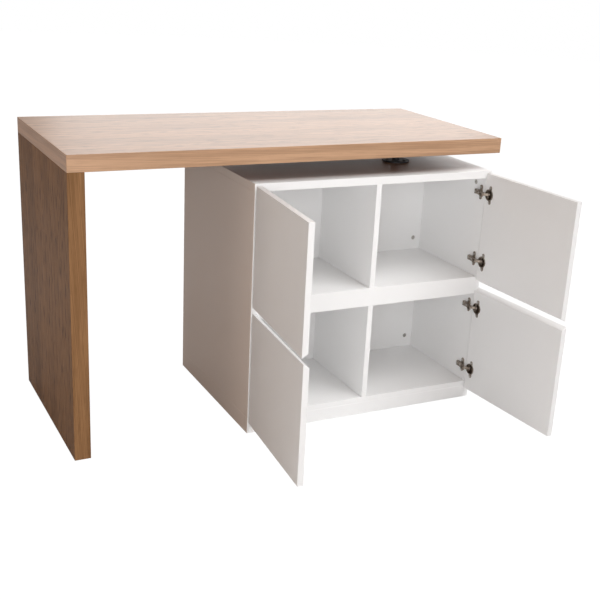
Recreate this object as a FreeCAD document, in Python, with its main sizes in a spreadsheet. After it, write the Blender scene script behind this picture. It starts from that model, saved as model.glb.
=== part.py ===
import FreeCAD, Part
import math
import os
import Sketcher
import types

# A counter-height bar table. The worktop stands on a leg panel at one end and turns on a
# swivel over a white cabinet with two rows of two open cells behind four handle-less doors.
# The doors stand open, as in the photograph.
# Origin: on the floor, under the middle of the cabinet's base.
# +X runs along the worktop away from its leg, +Y from the doors to the back, +Z is up.

SIZES = {
    # Whole table
    "table_height": 900,
    # Worktop and its leg panel
    "worktop_length": 1404,
    "worktop_depth": 624,
    "worktop_thickness": 48,
    "worktop_end_overhang": 28,
    "worktop_front_setback": 5,
    "leg_thickness": 48,
    "veneer_edge_ease": 0.8,
    "leg_glide_height": 4,
    "leg_glide_diameter": 28,
    "leg_glide_inset": 60,
    "dowel_diameter": 10,
    "dowel_length": 50,
    "dowel_inset": 75,
    # Cabinet
    "cabinet_width": 836,
    "cabinet_depth": 588,
    "board_thickness": 18,
    "top_thickness": 24,
    "shelf_thickness": 60,
    "shelf_top_height": 438,
    "floor_top_height": 60,
    "base_height": 52,
    "cell_depth": 356,
    "lacquer_edge_ease": 0.6,
    # Cam locks that pull the boards together
    "cam_diameter": 15,
    "cam_depth": 12,
    "cam_slot_width": 2.4,
    "cam_slot_depth": 2,
    "side_cam_drop": 23,
    "side_cam_setback": 54,
    "back_cam_inset": 29,
    "back_cam_rise": 42,
    # Doors
    "door_thickness": 18,
    "door_front_gap": 2,
    "door_side_reveal": 1,
    "door_middle_gap": 3,
    "door_top_reveal": 6,
    "upper_door_lap": 19,
    "lower_door_lap": 23,
    "lower_door_drop": 24,
    "grip_bevel_height": 11,
    "upper_left_opening": 95.2,
    "lower_left_opening": 94.4,
    "upper_right_opening": 92.7,
    "lower_right_opening": 94.2,
    "hinge_top_margin": 68,
    "hinge_bottom_margin": 77,
    # Swivel
    "swivel_gap": 56,
    "swivel_from_end": 234,
    "swivel_from_front": 216,
    "swivel_lower_plate_diameter": 90,
    "swivel_upper_plate_diameter": 140,
    "swivel_plate_thickness": 4,
    "swivel_post_diameter": 24,
    "swivel_post_height": 22,
    "swivel_spigot_diameter": 16,
    "swivel_running_clearance": 0.05,
    "swivel_washer_thickness": 2,
    "swivel_washer_clearance": 0.3,
    "swivel_bearing_gap": 0.1,
    "swivel_screw_diameter": 5,
    "swivel_screw_length": 16,
    "swivel_screw_head_diameter": 9,
    "swivel_screw_head_height": 3,
    "swivel_spigot_headroom": 2,
    # Concealed hinge, measured in plan from the side panel's inner front corner
    "hinge_swing_limit": 104,
    "outer_link_arm_x": 15.8,
    "outer_link_arm_y": 4.7,
    "outer_link_knee_x": -1.9,
    "outer_link_knee_y": -7.3,
    "outer_link_cup_x": -7.5,
    "outer_link_cup_y": -5.3,
    "inner_link_arm_x": 14.8,
    "inner_link_arm_y": -7.9,
    "inner_link_knee_x": -2.5,
    "inner_link_knee_y": -12.6,
    "inner_link_cup_x": -6.3,
    "inner_link_cup_y": -9.6,
    "outer_link_turn_share": 0.277,
    "inner_link_turn_share": 0.197,
    "link_half_width": 1.2,
    "link_eye_wall": 1.1,
    "link_pin_diameter": 2.4,
    "link_pin_clearance": 0.05,
    "open_pivot_clearance": 0.2,
    "inner_link_half_height": 3.4,
    "outer_link_inside": 4,
    "outer_link_sheet": 1.4,
    "link_bridge_share": 0.3,
    "arm_half_inside": 6,
    "arm_sheet": 1.2,
    "arm_half_thickness": 2.4,
    "arm_shoulder_x": 12,
    "arm_front_y": 12,
    "arm_rear_y": 44,
    "cup_centre_x": 4,
    "cup_diameter": 35,
    "cup_depth": 13.2,
    "cup_wall": 1,
    "cup_bore_clearance": 0.1,
    "cup_flange_thickness": 1.2,
    "cup_flange_rim": 1.5,
    "cup_screw_spacing": 48,
    "cup_screw_offset": 5,
    "cup_lobe_radius": 6,
    "plate_thickness": 2,
    "plate_centre_y": 20,
    "plate_wing_width": 13,
    "plate_wing_span": 48,
    "plate_block_height": 5,
    "plate_screw_spacing": 32,
    "wood_screw_diameter": 4,
    "wood_screw_length": 12,
    "wood_screw_head_diameter": 7.5,
    "wood_screw_head_height": 2,
    "clamp_screw_diameter": 6,
    "clamp_screw_height": 1.6,
    "clamp_screw_margin": 6,
}

LEFT = 1
RIGHT = -1
DOORS = {
    "upper_left": (LEFT, "upper"),
    "lower_left": (LEFT, "lower"),
    "upper_right": (RIGHT, "upper"),
    "lower_right": (RIGHT, "lower"),
}
UPRIGHT = FreeCAD.Vector(0, 0, 1)
FULL_TURN = 360
# A drilling that points out of its wood removes nothing, so most of it has to be gone.
LEAST_BORED_SHARE = 0.9


def formula_of(value):
    """The formula text of a size, or of a plain count."""
    if isinstance(value, Size):
        return value.formula
    return str(value)


def number_of(value):
    """The number behind a size, or a plain count."""
    if isinstance(value, Size):
        return value.number
    return float(value)


class Size:
    """A size known both as a number and as the spreadsheet formula that gives it."""

    def __init__(self, number, formula):
        self.number = number
        self.formula = formula

    def _joined(self, sign, other, number):
        return Size(number, f"({self.formula} {sign} {formula_of(other)})")

    def __add__(self, other):
        return self._joined("+", other, self.number + number_of(other))

    def __sub__(self, other):
        return self._joined("-", other, self.number - number_of(other))

    def __mul__(self, other):
        return self._joined("*", other, self.number * number_of(other))

    def __truediv__(self, other):
        return self._joined("/", other, self.number / number_of(other))

    def __neg__(self):
        return Size(-self.number, f"(0 - {self.formula})")

    def __float__(self):
        return self.number


doc = FreeCAD.newDocument("BarTable")
sheet = doc.addObject("Spreadsheet::Sheet", "Sizes")
for row, (alias, value) in enumerate(SIZES.items(), start=1):
    sheet.set(f"A{row}", alias)
    sheet.set(f"B{row}", str(value))
    sheet.setAlias(f"B{row}", alias)
doc.recompute()
s = types.SimpleNamespace(
    **{alias: Size(float(value), f"Sizes.{alias}") for alias, value in SIZES.items()}
)
nodes = []


def size_named(name):
    """The size of a given name."""
    return getattr(s, name)


def bind(item, name, value):
    """Tie a property of an object to the spreadsheet."""
    item.setExpression(name, value.formula)


def place(item, x, y, z):
    """Stand an object at a point that follows the spreadsheet."""
    for axis, value in (("x", x), ("y", y), ("z", z)):
        bind(item, f"Placement.Base.{axis}", value)


def keep(item):
    """List an object as one of the table's pieces."""
    nodes.append(item)
    return item


def new_body(label):
    """An empty body with its own name."""
    body = doc.addObject("PartDesign::Body", label)
    body.Label = label
    return body


def new_sketch(body, name, role, offset=None):
    """A sketch on one of the body's own origin planes, moved off it along its normal."""
    sketch = body.newObject("Sketcher::SketchObject", name)
    plane = next(p for p in body.Origin.OriginFeatures if p.Role == role)
    sketch.AttachmentSupport = (plane, [""])
    sketch.MapMode = "FlatFace"
    if offset is not None:
        bind(sketch, "AttachmentOffset.Base.z", offset)
    return sketch


def outline(sketch, corners):
    """A closed run of straight lines through corners, each held by its two distances."""
    points = [FreeCAD.Vector(number_of(x), number_of(y), 0) for x, y in corners]
    following = points[1:] + points[:1]
    for start, end in zip(points, following):
        sketch.addGeometry(Part.LineSegment(start, end), False)
    for index in range(len(points)):
        after = (index + 1) % len(points)
        sketch.addConstraint(Sketcher.Constraint("Coincident", index, 2, after, 1))
    for index, (x, y) in enumerate(corners):
        for kind, value in (("DistanceX", x), ("DistanceY", y)):
            rule = Sketcher.Constraint(kind, -1, 1, index, 1, number_of(value))
            number = sketch.addConstraint(rule)
            if isinstance(value, Size):
                sketch.setExpression(f"Constraints[{number}]", value.formula)


def circles(sketch, centres, radius):
    """Circles of one radius about centres that follow the spreadsheet."""
    for index, (x, y) in enumerate(centres):
        middle = FreeCAD.Vector(number_of(x), number_of(y), 0)
        sketch.addGeometry(Part.Circle(middle, UPRIGHT, radius.number), False)
        number = sketch.addConstraint(Sketcher.Constraint("Radius", index, radius.number))
        sketch.setExpression(f"Constraints[{number}]", radius.formula)
        for kind, value in (("DistanceX", x), ("DistanceY", y)):
            rule = Sketcher.Constraint(kind, -1, 1, index, 3, number_of(value))
            number = sketch.addConstraint(rule)
            if isinstance(value, Size):
                sketch.setExpression(f"Constraints[{number}]", value.formula)


def pad(body, sketch, length, backwards=False):
    """Grow a sketch into a solid."""
    feature = body.newObject("PartDesign::Pad", "Thickness")
    feature.Profile = sketch
    feature.Reversed = backwards
    bind(feature, "Length", length)
    sketch.Visibility = False
    doc.recompute()
    return feature


def ease_edges(body, feature, width):
    """Break every edge of a board by a narrow chamfer."""
    count = len(feature.Shape.Edges)
    chamfer = body.newObject("PartDesign::Chamfer", "EasedEdges")
    chamfer.Base = (feature, [f"Edge{number}" for number in range(1, count + 1)])
    bind(chamfer, "Size", width)
    doc.recompute()
    return chamfer


def board(label, length, depth, height, ease):
    """A board with its corner at its own origin and its edges lightly eased."""
    body = new_body(label)
    sketch = new_sketch(body, "Footprint", "XY_Plane")
    zero = length * 0
    outline(sketch, [(zero, zero), (length, zero), (length, depth), (zero, depth)])
    ease_edges(body, pad(body, sketch, height), ease)
    return keep(body)


def bore(body, role, offset, centres, diameter, depth, with_normal):
    """Drill round holes from a plane of the body into its wood."""
    doc.recompute()
    before = body.Shape.Volume
    sketch = new_sketch(body, "Drilling", role, offset)
    circles(sketch, centres, diameter / 2)
    pocket = body.newObject("PartDesign::Pocket", "Bores")
    pocket.Profile = sketch
    pocket.Reversed = with_normal
    bind(pocket, "Length", depth)
    sketch.Visibility = False
    doc.recompute()
    removed = before - body.Shape.Volume
    expected = len(centres) * math.pi * diameter.number ** 2 / 4 * depth.number
    if removed < expected * LEAST_BORED_SHARE:
        raise ValueError(f"{body.Label}: the bores removed {removed:.0f} of {expected:.0f}")
    return pocket


def shaped(label, solids, placement=None):
    """A piece made from finished solids."""
    feature = doc.addObject("Part::Feature", label)
    feature.Label = label
    feature.Shape = solids[0] if len(solids) == 1 else Part.makeCompound(solids)
    if placement is not None:
        feature.Placement = placement
    return keep(feature)


def solid_cylinder(centre, diameter, height):
    """An upright cylinder standing on a point."""
    return Part.makeCylinder(diameter / 2, height, centre, UPRIGHT)


def laid_cylinder(start, direction, diameter, length):
    """A cylinder along a given direction."""
    return Part.makeCylinder(diameter / 2, length, start, direction)


def rivet(point, radius, low, high):
    """An upright pin at a place in plan, from one height to another."""
    return Part.makeCylinder(radius, high - low, FreeCAD.Vector(point.x, point.y, low), UPRIGHT)


def strip(points, radius, low, high):
    """A flat strip with round ends along a run of places in plan."""
    pieces = [rivet(point, radius, low, high) for point in points]
    for start, end in zip(points, points[1:]):
        along = end - start
        if along.Length > 0:
            across = FreeCAD.Vector(-along.y, along.x, 0) * (radius / along.Length)
            corners = [start + across, end + across, end - across, start - across]
            pieces.append(prism(corners, low, high))
    joined = pieces[0].fuse(pieces[1:])
    return joined.removeSplitter().Solids[0]


def prism(corners, low, high):
    """A straight prism on corners in plan."""
    points = [FreeCAD.Vector(corner.x, corner.y, low) for corner in corners]
    face = Part.Face(Part.makePolygon(points + points[:1]))
    return face.extrude(FreeCAD.Vector(0, 0, high - low))


# Cabinet: heights and half widths that its boards share

half_width = s.cabinet_width / 2
worktop_underside = s.table_height - s.worktop_thickness
cabinet_height = worktop_underside - s.swivel_gap
front = -(s.cabinet_depth / 2)
inner_width = s.cabinet_width - s.board_thickness * 2
inner_left = s.board_thickness - half_width
underside = cabinet_height - s.top_thickness
side_height = underside - s.base_height
floor_bottom = s.floor_top_height - s.board_thickness
shelf_bottom = s.shelf_top_height - s.shelf_thickness
DOOR_SPANS = {
    "upper": (s.shelf_top_height - s.upper_door_lap, cabinet_height - s.door_top_reveal),
    "lower": (s.floor_top_height - s.lower_door_drop, shelf_bottom + s.lower_door_lap),
}
hinge_heights = {
    row: (top - s.hinge_top_margin, bottom + s.hinge_bottom_margin)
    for row, (bottom, top) in DOOR_SPANS.items()
}
all_hinge_heights = [height for pair in hinge_heights.values() for height in pair]

# Cabinet: side panels, drilled for the hinge plates and the cam locks of the top

plate_drillings = [
    (s.plate_centre_y, height - s.base_height + s.plate_screw_spacing / 2 * side)
    for height in all_hinge_heights
    for side in (1, -1)
]
side_cams = [
    (s.side_cam_setback, side_height - s.side_cam_drop),
    (s.cabinet_depth - s.side_cam_setback, side_height - s.side_cam_drop),
]
screw_bite = s.wood_screw_length - s.plate_thickness
for label, hand in (("left_side_panel", LEFT), ("right_side_panel", RIGHT)):
    panel = board(label, s.board_thickness, s.cabinet_depth, side_height, s.lacquer_edge_ease)
    inner_face = s.board_thickness if hand == LEFT else s.board_thickness * 0
    from_right = hand == RIGHT
    for places, diameter, depth in (
        (plate_drillings, s.wood_screw_diameter, screw_bite),
        (side_cams, s.cam_diameter, s.cam_depth),
    ):
        bore(panel, "YZ_Plane", inner_face, places, diameter, depth, from_right)
    outer_x = -half_width if hand == LEFT else half_width - s.board_thickness
    place(panel, outer_x, front, s.base_height)

# Cabinet: top, bottom, shelf, dividers and the back panel set in from the rear

swivel_x = half_width - s.swivel_from_end
swivel_y = front + s.swivel_from_front
QUARTERS = [(1, 1), (-1, 1), (-1, -1), (1, -1)]
DIAGONAL_SHARE = math.sqrt(0.5)


def bolt_places(middle_x, middle_y, radius):
    """Four places round a swivel plate, on its diagonals."""
    return [
        (middle_x + radius * DIAGONAL_SHARE * across, middle_y + radius * DIAGONAL_SHARE * along)
        for across, along in QUARTERS
    ]


lower_bolt_radius = (s.swivel_lower_plate_diameter + s.swivel_post_diameter) / 4
upper_bolt_radius = s.swivel_upper_plate_diameter / 2 - s.swivel_screw_head_diameter
swivel_bite = s.swivel_screw_length - s.swivel_plate_thickness

top_panel = board(
    "top_panel", s.cabinet_width, s.cabinet_depth, s.top_thickness, s.lacquer_edge_ease
)
bore(
    top_panel,
    "XY_Plane",
    s.top_thickness,
    bolt_places(s.cabinet_width - s.swivel_from_end, s.swivel_from_front, lower_bolt_radius),
    s.swivel_screw_diameter,
    swivel_bite,
    False,
)
place(top_panel, -half_width, front, underside)

bottom_panel = board(
    "bottom_panel", inner_width, s.cabinet_depth, s.board_thickness, s.lacquer_edge_ease
)
place(bottom_panel, inner_left, front, floor_bottom)

middle_shelf = board(
    "middle_shelf", inner_width, s.cell_depth, s.shelf_thickness, s.lacquer_edge_ease
)
place(middle_shelf, inner_left, front, shelf_bottom)

dividers = {
    "upper_divider": (s.shelf_top_height, underside),
    "lower_divider": (s.floor_top_height, shelf_bottom),
}
for label, (low, high) in dividers.items():
    divider = board(label, s.board_thickness, s.cell_depth, high - low, s.lacquer_edge_ease)
    place(divider, -(s.board_thickness / 2), front, low)

back_panel = board(
    "back_panel",
    inner_width,
    s.board_thickness,
    underside - s.floor_top_height,
    s.lacquer_edge_ease,
)
back_cams = [
    (across, low - s.floor_top_height + s.back_cam_rise)
    for across in (s.back_cam_inset, inner_width - s.back_cam_inset)
    for low in (s.floor_top_height, s.shelf_top_height)
]
bore(back_panel, "XZ_Plane", None, back_cams, s.cam_diameter, s.cam_depth, False)
place(back_panel, inner_left, front + s.cell_depth, s.floor_top_height)

# Base: rails under the boards, flush with the cabinet's faces

rear_rail_y = s.cabinet_depth / 2 - s.board_thickness
middle_depth = s.cabinet_depth - s.board_thickness * 2
zero = s.cabinet_width * 0
base_rails = {
    "base_left_rail": (s.board_thickness, s.cabinet_depth, s.base_height, -half_width, front),
    "base_right_rail": (
        s.board_thickness,
        s.cabinet_depth,
        s.base_height,
        half_width - s.board_thickness,
        front,
    ),
    "base_front_rail": (inner_width, s.board_thickness, floor_bottom, inner_left, front),
    "base_rear_rail": (inner_width, s.board_thickness, floor_bottom, inner_left, rear_rail_y),
    "base_middle_rail": (
        s.board_thickness,
        middle_depth,
        floor_bottom,
        -(s.board_thickness / 2),
        front + s.board_thickness,
    ),
}
for label, (length, depth, height, x, y) in base_rails.items():
    rail = board(label, length, depth, height, s.lacquer_edge_ease)
    place(rail, x, y, zero)


def cam_lock(face, direction, slot_axis):
    """A round cam sunk flush in a board, with a screwdriver slot across its face."""
    disc = laid_cylinder(face, direction, float(s.cam_diameter), float(s.cam_depth))
    width = float(s.cam_slot_width)
    length = float(s.cam_diameter) / 2
    sunk = float(s.cam_slot_depth)
    third = direction.cross(slot_axis)
    start = face - slot_axis * (length / 2) - third * (width / 2)
    edges = [start, start + slot_axis * length]
    edges += [edges[1] + third * width, edges[0] + third * width]
    slot = Part.Face(Part.makePolygon(edges + edges[:1])).extrude(direction * sunk)
    return disc.cut(slot)


along_y = FreeCAD.Vector(0, 1, 0)
cams = []
for hand in (LEFT, RIGHT):
    inner = hand * (float(s.board_thickness) - float(half_width))
    for setback, rise in side_cams:
        face = FreeCAD.Vector(inner, float(front + setback), float(s.base_height + rise))
        cams.append(cam_lock(face, FreeCAD.Vector(-hand, 0, 0), along_y))
for across, rise in back_cams:
    face = FreeCAD.Vector(
        float(inner_left + across), float(front + s.cell_depth), float(s.floor_top_height + rise)
    )
    cams.append(cam_lock(face, along_y, UPRIGHT))
shaped("cam_locks", cams)

# Swivel: a flanged post on the cabinet, and a flanged sleeve under the worktop that turns on it


def turned_part(label, steps):
    """A round metal part made by turning a half profile about the upright axis."""
    body = new_body(label)
    sketch = new_sketch(body, "HalfProfile", "XZ_Plane")
    outline(sketch, steps)
    turning = body.newObject("PartDesign::Revolution", "Turning")
    turning.Profile = sketch
    turning.ReferenceAxis = (sketch, ["V_Axis"])
    turning.Angle = FULL_TURN
    sketch.Visibility = False
    doc.recompute()
    return keep(body)


post_radius = s.swivel_post_diameter / 2
spigot_radius = s.swivel_spigot_diameter / 2
lower_radius = s.swivel_lower_plate_diameter / 2
upper_radius = s.swivel_upper_plate_diameter / 2
plate = s.swivel_plate_thickness
post_top = s.swivel_post_height
swivel_rise = s.swivel_gap
spigot_top = swivel_rise - plate - s.swivel_spigot_headroom
sleeve_low = post_top + s.swivel_washer_thickness + s.swivel_bearing_gap
sleeve_bore = spigot_radius + s.swivel_running_clearance

lower_swivel = turned_part(
    "swivel_post",
    [
        (zero, zero),
        (lower_radius, zero),
        (lower_radius, plate),
        (post_radius, plate),
        (post_radius, post_top),
        (spigot_radius, post_top),
        (spigot_radius, spigot_top),
        (zero, spigot_top),
    ],
)
bore(
    lower_swivel,
    "XY_Plane",
    plate,
    bolt_places(zero, zero, lower_bolt_radius),
    s.swivel_screw_diameter,
    plate,
    False,
)
place(lower_swivel, swivel_x, swivel_y, cabinet_height)

washer = turned_part(
    "swivel_washer",
    [
        (spigot_radius + s.swivel_washer_clearance, zero),
        (post_radius, zero),
        (post_radius, s.swivel_washer_thickness),
        (spigot_radius + s.swivel_washer_clearance, s.swivel_washer_thickness),
    ],
)
place(washer, swivel_x, swivel_y, cabinet_height + post_top)

upper_swivel = turned_part(
    "swivel_sleeve",
    [
        (sleeve_bore, sleeve_low),
        (post_radius, sleeve_low),
        (post_radius, swivel_rise - plate),
        (upper_radius, swivel_rise - plate),
        (upper_radius, swivel_rise),
        (zero, swivel_rise),
        (zero, swivel_rise - plate),
        (sleeve_bore, swivel_rise - plate),
    ],
)
bore(
    upper_swivel,
    "XY_Plane",
    swivel_rise,
    bolt_places(zero, zero, upper_bolt_radius),
    s.swivel_screw_diameter,
    plate,
    False,
)
place(upper_swivel, swivel_x, swivel_y, cabinet_height)


def swivel_screws(radius, head_face, direction):
    """Four pan-head screws through a swivel plate into the wood behind it."""
    screws = []
    for x, y in bolt_places(swivel_x, swivel_y, radius):
        seat = FreeCAD.Vector(float(x), float(y), float(head_face))
        shank = laid_cylinder(
            seat, direction, float(s.swivel_screw_diameter), float(s.swivel_screw_length)
        )
        head = laid_cylinder(
            seat, -direction, float(s.swivel_screw_head_diameter), float(s.swivel_screw_head_height)
        )
        screws.append(shank.fuse(head))
    return screws


shaped(
    "swivel_lower_screws",
    swivel_screws(lower_bolt_radius, cabinet_height + plate, -UPRIGHT),
)
shaped(
    "swivel_upper_screws",
    swivel_screws(upper_bolt_radius, worktop_underside - plate, UPRIGHT),
)

# Worktop and leg panel, dowelled together at a butt joint

worktop_left = half_width + s.worktop_end_overhang - s.worktop_length
worktop_front = front + s.worktop_front_setback
dowel_rows = [
    (s.leg_thickness / 2, s.dowel_inset),
    (s.leg_thickness / 2, s.worktop_depth / 2),
    (s.leg_thickness / 2, s.worktop_depth - s.dowel_inset),
]

worktop = board(
    "worktop", s.worktop_length, s.worktop_depth, s.worktop_thickness, s.veneer_edge_ease
)
bore(
    worktop,
    "XY_Plane",
    None,
    bolt_places(
        s.worktop_length - s.worktop_end_overhang - s.swivel_from_end,
        s.swivel_from_front - s.worktop_front_setback,
        upper_bolt_radius,
    ),
    s.swivel_screw_diameter,
    swivel_bite,
    True,
)
bore(worktop, "XY_Plane", None, dowel_rows, s.dowel_diameter, s.dowel_length / 2, True)
place(worktop, worktop_left, worktop_front, worktop_underside)

leg_height = worktop_underside - s.leg_glide_height
leg_panel = board("leg_panel", s.leg_thickness, s.worktop_depth, leg_height, s.veneer_edge_ease)
bore(
    leg_panel,
    "XY_Plane",
    leg_height,
    dowel_rows,
    s.dowel_diameter,
    s.dowel_length / 2,
    False,
)
place(leg_panel, worktop_left, worktop_front, s.leg_glide_height)

dowels = []
for across, along in dowel_rows:
    foot = FreeCAD.Vector(
        float(worktop_left + across),
        float(worktop_front + along),
        float(worktop_underside - s.dowel_length / 2),
    )
    dowels.append(solid_cylinder(foot, float(s.dowel_diameter), float(s.dowel_length)))
shaped("leg_dowels", dowels)

glides = []
for along in (s.leg_glide_inset, s.worktop_depth - s.leg_glide_inset):
    foot = FreeCAD.Vector(
        float(worktop_left + s.leg_thickness / 2), float(worktop_front + along), float(zero)
    )
    glides.append(
        solid_cylinder(foot, float(s.leg_glide_diameter), float(s.leg_glide_height))
    )
shaped("leg_glides", glides)

# Concealed hinges: places in plan, measured from the side panel's outer front corner and
# drawn with the door shut. A right-hand hinge is the mirror of a left-hand one.

SWING_STEPS = 12
cup_middle = s.board_thickness + s.cup_centre_x


def spot(hand, name):
    """A named pivot or knee of the linkage in plan."""
    across = s.board_thickness + size_named(name + "_x")
    return FreeCAD.Vector(hand * float(across), float(size_named(name + "_y")), 0)


def turned(point, pivot, degrees):
    """A place in plan after a turn about a pivot."""
    turn = FreeCAD.Rotation(UPRIGHT, degrees)
    return pivot + turn.multVec(point - pivot)


def corner(hand, height=0.0):
    """The side panel's outer front corner at a height."""
    return FreeCAD.Placement(
        FreeCAD.Vector(-hand * float(half_width), float(front), height), FreeCAD.Rotation()
    )


def swing(pivot, moved_pivot, degrees):
    """A turn that carries one place in plan to another."""
    there = FreeCAD.Placement(moved_pivot, FreeCAD.Rotation(UPRIGHT, degrees))
    return there * FreeCAD.Placement(-pivot, FreeCAD.Rotation())


def link_swing(hand, name, opening):
    """How far a link has turned about its arm pivot when the door stands at an opening."""
    degrees = hand * float(size_named(name + "_turn_share")) * opening
    pivot = spot(hand, name + "_arm")
    return swing(pivot, pivot, degrees)


def door_swing(hand, opening):
    """Where the door has gone from shut: carried on the outer link's far pivot."""
    pivot = spot(hand, "outer_link_cup")
    carried = link_swing(hand, "outer_link", opening).multVec(pivot)
    return swing(pivot, carried, -hand * opening)


pin_radius = float(s.link_pin_diameter) / 2
eye_radius = pin_radius + float(s.link_eye_wall)
cheek_inside = float(s.outer_link_inside)
cheek_outside = cheek_inside + float(s.outer_link_sheet)
arm_inside = float(s.arm_half_inside)
arm_outside = arm_inside + float(s.arm_sheet)


def moved_up(solid, height):
    """A copy of a solid at a hinge's height."""
    copy = solid.copy()
    copy.translate(FreeCAD.Vector(0, 0, float(height)))
    return copy


def outer_link(hand):
    """Two cranked cheeks joined by a bridge, riveted to the arm and to the cup."""
    arm_end = spot(hand, "outer_link_arm")
    knee = spot(hand, "outer_link_knee")
    cup_end = spot(hand, "outer_link_cup")
    half = float(s.link_half_width)
    hole = pin_radius + float(s.link_pin_clearance)
    cheeks = []
    for low, high in ((cheek_inside, cheek_outside), (-cheek_outside, -cheek_inside)):
        cheek = strip([arm_end, knee, cup_end], half, low, high)
        cheek = cheek.fuse([rivet(end, eye_radius, low, high) for end in (arm_end, cup_end)])
        cheeks.append(cheek)
    middle = arm_end + (knee - arm_end) * float(s.link_bridge_share)
    bridge = rivet(middle, half, -cheek_outside, cheek_outside)
    link = cheeks[0].fuse([cheeks[1], bridge])
    for end in (arm_end, cup_end):
        link = link.cut(rivet(end, hole, -cheek_outside, cheek_outside))
    return link.removeSplitter()


def open_pivot_eye(hand):
    """Middle and reach of the path that the cup's second pin takes, seen from the inner link."""
    pin = spot(hand, "inner_link_cup")
    path = []
    for step in range(SWING_STEPS + 1):
        opening = float(s.hinge_swing_limit) * step / SWING_STEPS
        carried = door_swing(hand, opening).multVec(pin)
        path.append(link_swing(hand, "inner_link", opening).inverse().multVec(carried))
    bounds = FreeCAD.BoundBox()
    for point in path:
        bounds.add(point)
    return bounds.Center, max((point - bounds.Center).Length for point in path)


def inner_link(hand):
    """A single cranked bar, riveted to the arm; its cup end is a wide eye."""
    arm_end = spot(hand, "inner_link_arm")
    knee = spot(hand, "inner_link_knee")
    eye, reach = open_pivot_eye(hand)
    high = float(s.inner_link_half_height)
    opening = reach + pin_radius + float(s.open_pivot_clearance)
    bar = strip([arm_end, knee, eye], float(s.link_half_width), -high, high)
    bar = bar.fuse(
        [
            rivet(arm_end, eye_radius, -high, high),
            rivet(eye, opening + float(s.link_eye_wall), -high, high),
        ]
    )
    bar = bar.cut(rivet(arm_end, pin_radius + float(s.link_pin_clearance), -high, high))
    return bar.cut(rivet(eye, opening, -high, high)).removeSplitter()


def hinge_arm(hand):
    """A folded steel channel that reaches from its plate to the two link rivets."""
    heel = hand * float(s.board_thickness + s.plate_thickness)
    shoulder = hand * float(s.board_thickness + s.arm_shoulder_x)
    sheet = hand * float(s.arm_sheet)
    near = float(s.arm_front_y)
    far = float(s.arm_rear_y)
    half = float(s.arm_half_thickness)
    nose = spot(hand, "inner_link_arm")
    neck = spot(hand, "outer_link_arm")
    root = FreeCAD.Vector(shoulder - hand * half, near + half, 0)
    profile = [
        FreeCAD.Vector(heel, near, 0),
        FreeCAD.Vector(heel, far, 0),
        FreeCAD.Vector(shoulder - hand * half, far, 0),
        FreeCAD.Vector(shoulder, far - half, 0),
        FreeCAD.Vector(shoulder, near, 0),
    ]
    web = [
        FreeCAD.Vector(shoulder - sheet, near + half, 0),
        FreeCAD.Vector(shoulder - sheet, far - half, 0),
        FreeCAD.Vector(shoulder, far - half, 0),
        FreeCAD.Vector(shoulder, near + half, 0),
    ]
    parts = []
    for low, high in ((arm_inside, arm_outside), (-arm_outside, -arm_inside)):
        parts.append(prism(profile, low, high))
        parts.append(strip([nose, neck, root], half, low, high))
    parts.append(prism(web, -arm_outside, arm_outside))
    parts += [rivet(pin, pin_radius, -arm_outside, arm_outside) for pin in (nose, neck)]
    return parts[0].fuse(parts[1:]).removeSplitter()


def hinge_cup(hand):
    """A pressed cup with a flange that carries the two link pins between its walls."""
    centre = FreeCAD.Vector(hand * float(cup_middle), -float(s.door_front_gap), 0)
    outward = FreeCAD.Vector(0, 1, 0)
    inward = -outward
    radius = float(s.cup_diameter) / 2
    wall = float(s.cup_wall)
    depth = float(s.cup_depth)
    flange = float(s.cup_flange_thickness)
    rim = Part.makeCylinder(radius + float(s.cup_flange_rim), flange, centre, outward)
    pot = Part.makeCylinder(radius, depth, centre, inward)
    first, second = [cup_screw_place(hand, side) for side in (1, -1)]
    reach = float(s.cup_lobe_radius)
    lobes = [Part.makeCylinder(reach, flange, lobe, outward) for lobe in (first, second)]
    across = FreeCAD.Vector(reach, 0, 0)
    band = Part.Face(
        Part.makePolygon(
            [first + across, second + across, second - across, first - across, first + across]
        )
    ).extrude(outward * flange)
    body = rim.fuse([pot, band] + lobes)
    mouth = centre + outward * flange
    hollow = Part.makeCylinder(radius - wall, depth - wall + flange, mouth, inward)
    body = body.cut(hollow)
    screw_hole = float(s.wood_screw_diameter) / 2
    for lobe in (first, second):
        body = body.cut(Part.makeCylinder(screw_hole, flange, lobe, outward))
    limit = Part.makeCylinder(radius, depth, centre, inward)
    outer_pin = spot(hand, "outer_link_cup")
    inner_pin = spot(hand, "inner_link_cup")
    stub = cheek_inside - float(s.open_pivot_clearance)
    pins = [
        rivet(outer_pin, pin_radius, stub, radius),
        rivet(outer_pin, pin_radius, -radius, -stub),
        rivet(inner_pin, pin_radius, -radius, radius),
    ]
    return body.fuse([pin.common(limit) for pin in pins]).removeSplitter()


def cup_screw_place(hand, side):
    """A cup screw's place on the door's inner face, beside the cup and away from its edge."""
    return FreeCAD.Vector(
        hand * float(cup_middle + s.cup_screw_offset),
        -float(s.door_front_gap),
        side * float(s.cup_screw_spacing) / 2,
    )


def wood_screw(seat, direction, sheet):
    """A pan-head screw through a sheet into wood, its head resting on the sheet."""
    under_head = seat - direction * sheet
    shank = laid_cylinder(
        under_head, direction, float(s.wood_screw_diameter), float(s.wood_screw_length)
    )
    head = laid_cylinder(
        under_head,
        -direction,
        float(s.wood_screw_head_diameter),
        float(s.wood_screw_head_height),
    )
    return shank.fuse(head).removeSplitter()


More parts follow.
